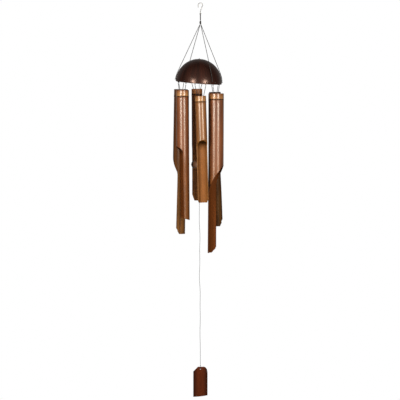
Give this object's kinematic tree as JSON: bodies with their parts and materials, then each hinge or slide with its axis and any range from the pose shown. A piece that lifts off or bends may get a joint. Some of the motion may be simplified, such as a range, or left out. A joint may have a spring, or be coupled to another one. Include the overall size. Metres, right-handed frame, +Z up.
{
  "type": "wind chime",
  "caption": "Hanging wind chime: side-cut bamboo tubes on cords under a half coconut shell, with a wooden clapper and a bamboo sail that the wind moves.",
  "frame": {"origin": "inside of the hook's crown, where the hook sits on its support", "axes": "+Z up along the hanging line, +X to the right seen from the front, -Y to the front"},
  "size_m": [0.13, 0.1303, 1.0066],
  "materials": {
    "steel_wire": "bright drawn wire",
    "black_cord": "waxed twisted cord",
    "coconut_shell": "polished shell with fine fibre lines",
    "red_bamboo": "scorched and varnished bamboo, satin",
    "golden_bamboo": "varnished bamboo, satin",
    "dark_bamboo": "scorched and varnished bamboo, satin",
    "dark_wood": "turned and varnished",
    "sail_bamboo": "split bamboo, varnished",
    "pale_line": "thin translucent twisted line"
  },
  "bodies": {
    "hook": {"hanging_hook": "steel_wire"},
    "hanger_loop": {"hanger_loop": "black_cord"},
    "hanger_knot": {"hanger_knot": "black_cord"},
    "canopy": {"hanger_cord_left": "black_cord", "hanger_cord_rear": "black_cord", "hanger_cord_front": "black_cord", "hanger_cord_right": "black_cord", "coconut_shell": "coconut_shell", "rim_ties": "black_cord", "apex_tie": "black_cord"},
    "front_left_cord": {"front_left_cord": "black_cord"},
    "front_left_tube": {"front_left_tube": "red_bamboo"},
    "front_center_cord": {"front_center_cord": "black_cord"},
    "front_center_tube": {"front_center_tube": "golden_bamboo"},
    "front_right_cord": {"front_right_cord": "black_cord"},
    "front_right_tube": {"front_right_tube": "red_bamboo"},
    "rear_right_cord": {"rear_right_cord": "black_cord"},
    "rear_right_tube": {"rear_right_tube": "dark_bamboo"},
    "rear_center_cord": {"rear_center_cord": "black_cord"},
    "rear_center_tube": {"rear_center_tube": "dark_bamboo"},
    "rear_left_cord": {"rear_left_cord": "black_cord"},
    "rear_left_tube": {"rear_left_tube": "dark_bamboo"},
    "clapper_link": {"clapper_link": "black_cord"},
    "clapper_cord": {"clapper_cord": "black_cord", "clapper_knot": "black_cord"},
    "clapper": {"clapper": "dark_wood"},
    "sail_link": {"sail_link": "pale_line"},
    "sail_line": {"sail_line": "pale_line"},
    "sail": {"sail_tie": "pale_line", "sail": "sail_bamboo"}
  },
  "joints": [
    {"name": "hook_sway", "type": "hinge", "parent": "hook", "child": "hanger_loop", "pos_m": [0, 0, -0.0267], "axis": [0, -1, 0], "range_deg": [-20, 20]},
    {"name": "loop_swing", "type": "hinge", "parent": "hanger_loop", "child": "hanger_knot", "pos_m": [0, 0, -0.04344], "axis": [-1, 0, 0], "range_deg": [-20, 20]},
    {"name": "canopy_twist", "type": "hinge", "parent": "hanger_knot", "child": "canopy", "pos_m": [0, 0, -0.05456], "axis": [0, 0, 1], "range_deg": [-90, 90]},
    {"name": "front_left_swing", "type": "hinge", "parent": "canopy", "child": "front_left_cord", "pos_m": [-0.04545, -0.02867, -0.20418], "axis": [0.5717, -0.8165, -0.0803], "range_deg": [-20, 1]},
    {"name": "front_left_rock", "type": "hinge", "parent": "front_left_cord", "child": "front_left_tube", "pos_m": [-0.04532, -0.02867, -0.23881], "axis": [0.5736, -0.8192, 0.004], "range_deg": [-12, 0.9]},
    {"name": "front_center_swing", "type": "hinge", "parent": "canopy", "child": "front_center_cord", "pos_m": [-0.00009, -0.0504, -0.20855], "axis": [-0.9938, -0.0869, 0.0697], "range_deg": [-1, 20]},
    {"name": "front_center_rock", "type": "hinge", "parent": "front_center_cord", "child": "front_center_tube", "pos_m": [0.00042, -0.0504, -0.2518], "axis": [-0.9958, -0.0872, -0.0296], "range_deg": [-0.9, 12]},
    {"name": "front_right_swing", "type": "hinge", "parent": "canopy", "child": "front_right_cord", "pos_m": [0.03981, -0.02066, -0.21014], "axis": [-0.4226, -0.9063, -0.0107], "range_deg": [-1, 20]},
    {"name": "front_right_rock", "type": "hinge", "parent": "front_right_cord", "child": "front_right_tube", "pos_m": [0.03972, -0.02066, -0.24631], "axis": [-0.4226, -0.9063, 0.0022], "range_deg": [-0.9, 12]},
    {"name": "rear_right_swing", "type": "hinge", "parent": "canopy", "child": "rear_right_cord", "pos_m": [0.0368, 0.02891, -0.20761], "axis": [0.5717, -0.8165, -0.0803], "range_deg": [-1, 20]},
    {"name": "rear_right_rock", "type": "hinge", "parent": "rear_right_cord", "child": "rear_right_tube", "pos_m": [0.03711, 0.02891, -0.2433], "axis": [0.5735, -0.8192, 0.01], "range_deg": [-0.9, 12]},
    {"name": "rear_center_swing", "type": "hinge", "parent": "canopy", "child": "rear_center_cord", "pos_m": [-0.00892, 0.0505, -0.20322], "axis": [-0.9938, -0.0869, 0.0697], "range_deg": [-20, 1]},
    {"name": "rear_center_rock", "type": "hinge", "parent": "rear_center_cord", "child": "rear_center_tube", "pos_m": [-0.00887, 0.0505, -0.23381], "axis": [-0.9962, -0.0872, -0.0026], "range_deg": [-12, 0.9]},
    {"name": "rear_left_swing", "type": "hinge", "parent": "canopy", "child": "rear_left_cord", "pos_m": [-0.04952, 0.02099, -0.20158], "axis": [-0.4226, -0.9063, -0.0107], "range_deg": [-20, 1]},
    {"name": "rear_left_rock", "type": "hinge", "parent": "rear_left_cord", "child": "rear_left_tube", "pos_m": [-0.04986, 0.02099, -0.2373], "axis": [-0.4226, -0.9063, 0.0074], "range_deg": [-12, 0.9]},
    {"name": "clapper_swing_front", "type": "hinge", "parent": "canopy", "child": "clapper_link", "pos_m": [-0.003, 0, -0.15325], "axis": [-1, 0, 0], "range_deg": [-1.3, 1.3]},
    {"name": "clapper_swing_side", "type": "hinge", "parent": "clapper_link", "child": "clapper_cord", "pos_m": [-0.003, 0, -0.15536], "axis": [0, -1, 0], "range_deg": [-1.3, 1.3]},
    {"name": "clapper_turn", "type": "hinge", "parent": "clapper_cord", "child": "clapper", "pos_m": [-0.003, 0, -0.409], "axis": [0, 0, 1], "continuous": true},
    {"name": "sail_swing_front", "type": "hinge", "parent": "clapper_cord", "child": "sail_link", "pos_m": [-0.003, 0, -0.42564], "axis": [-1, 0, 0], "range_deg": [-6, 6]},
    {"name": "sail_swing_side", "type": "hinge", "parent": "sail_link", "child": "sail_line", "pos_m": [-0.003, 0, -0.42756], "axis": [0, -1, 0], "range_deg": [-6, 6]},
    {"name": "sail_turn", "type": "hinge", "parent": "sail_line", "child": "sail", "pos_m": [0, 0, -0.92218], "axis": [0, 0, 1], "continuous": true}
  ]
}
